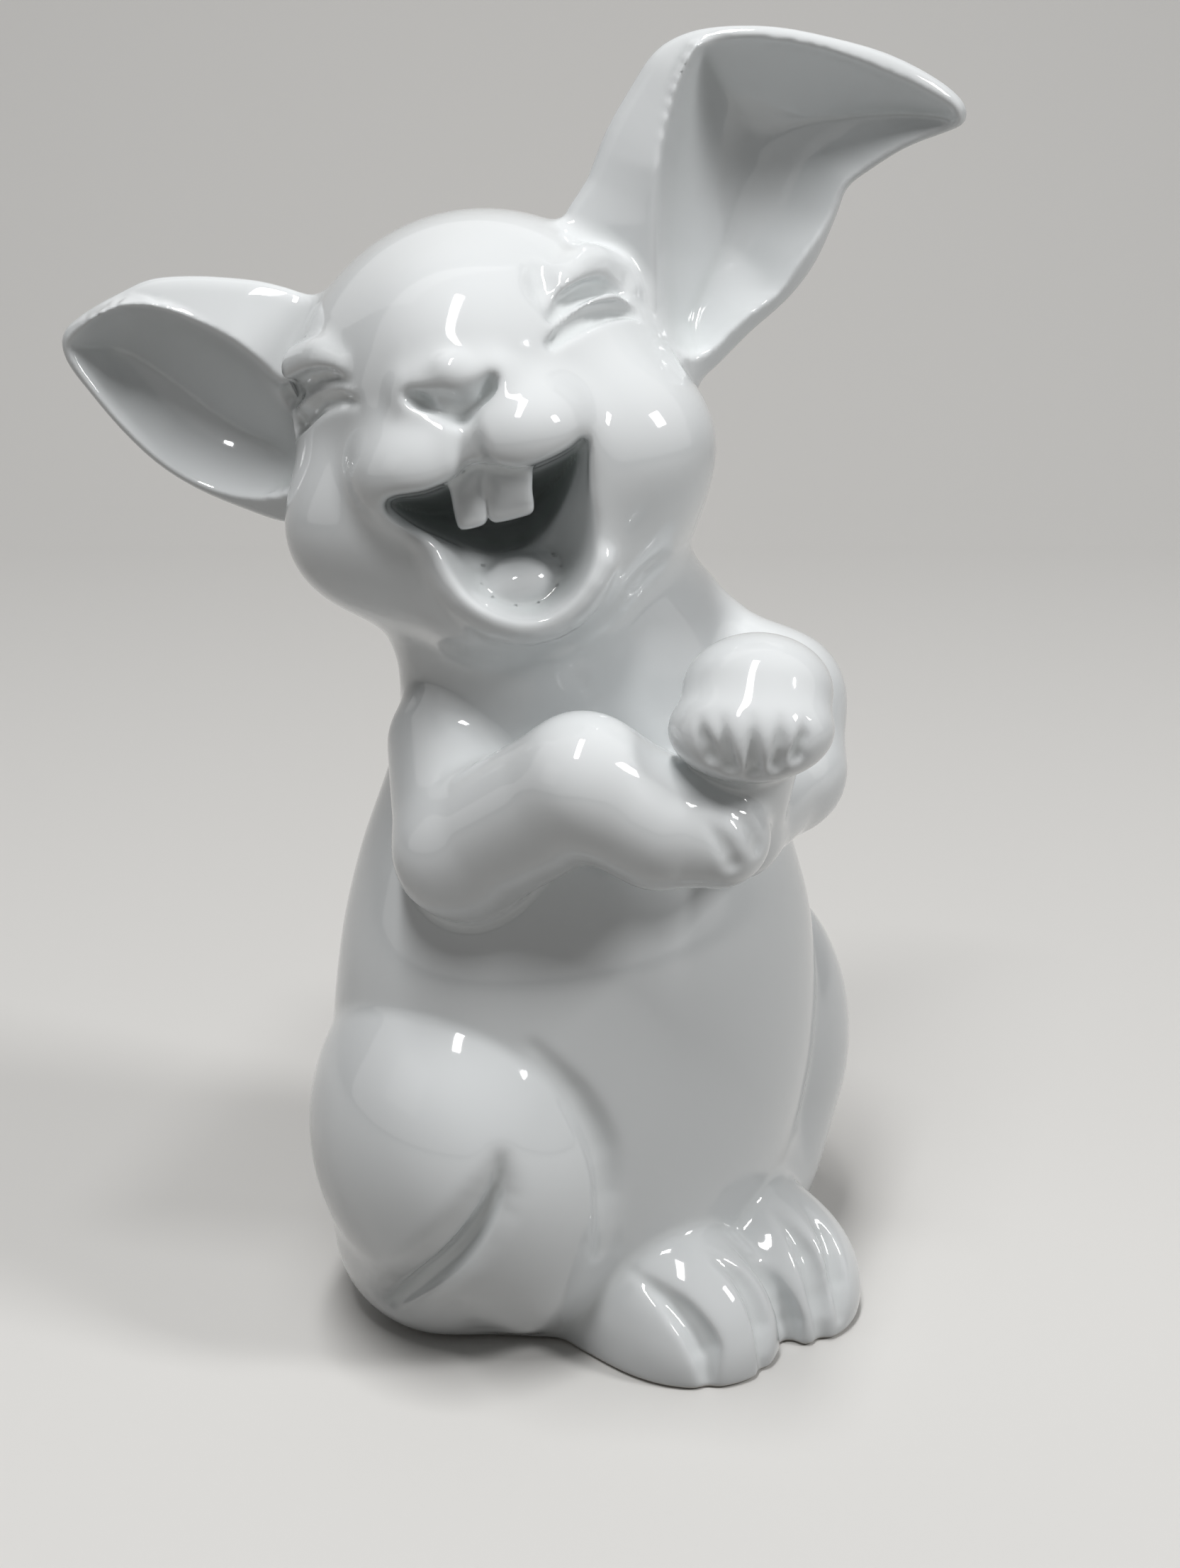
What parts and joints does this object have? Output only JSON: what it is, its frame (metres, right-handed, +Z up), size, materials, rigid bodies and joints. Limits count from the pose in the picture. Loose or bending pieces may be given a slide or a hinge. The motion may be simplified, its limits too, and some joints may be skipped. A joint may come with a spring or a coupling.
{
  "type": "ceramic figurine",
  "caption": "Glossy white porcelain rabbit that sits upright and laughs with an open mouth, head tilted, one ear folded over, paws held before its chest.",
  "frame": {"origin": "on the underside of the flat base, at the middle of the body", "axes": "+Z up through the body, -Y to the front where the face looks, +X to the rabbit's left"},
  "size_m": [0.1286, 0.0873, 0.1898],
  "materials": {
    "white_glaze": "gloss"
  },
  "bodies": {
    "root": {"torso": "white_glaze", "head": "white_glaze", "right_ear": "white_glaze", "left_ear": "white_glaze", "right_arm": "white_glaze", "right_paw": "white_glaze", "left_arm": "white_glaze", "left_paw": "white_glaze", "right_haunch": "white_glaze", "left_haunch": "white_glaze", "right_foot": "white_glaze", "left_foot": "white_glaze", "tail": "white_glaze", "upper_incisors": "white_glaze", "tongue": "white_glaze"}
  },
  "joints": []
}
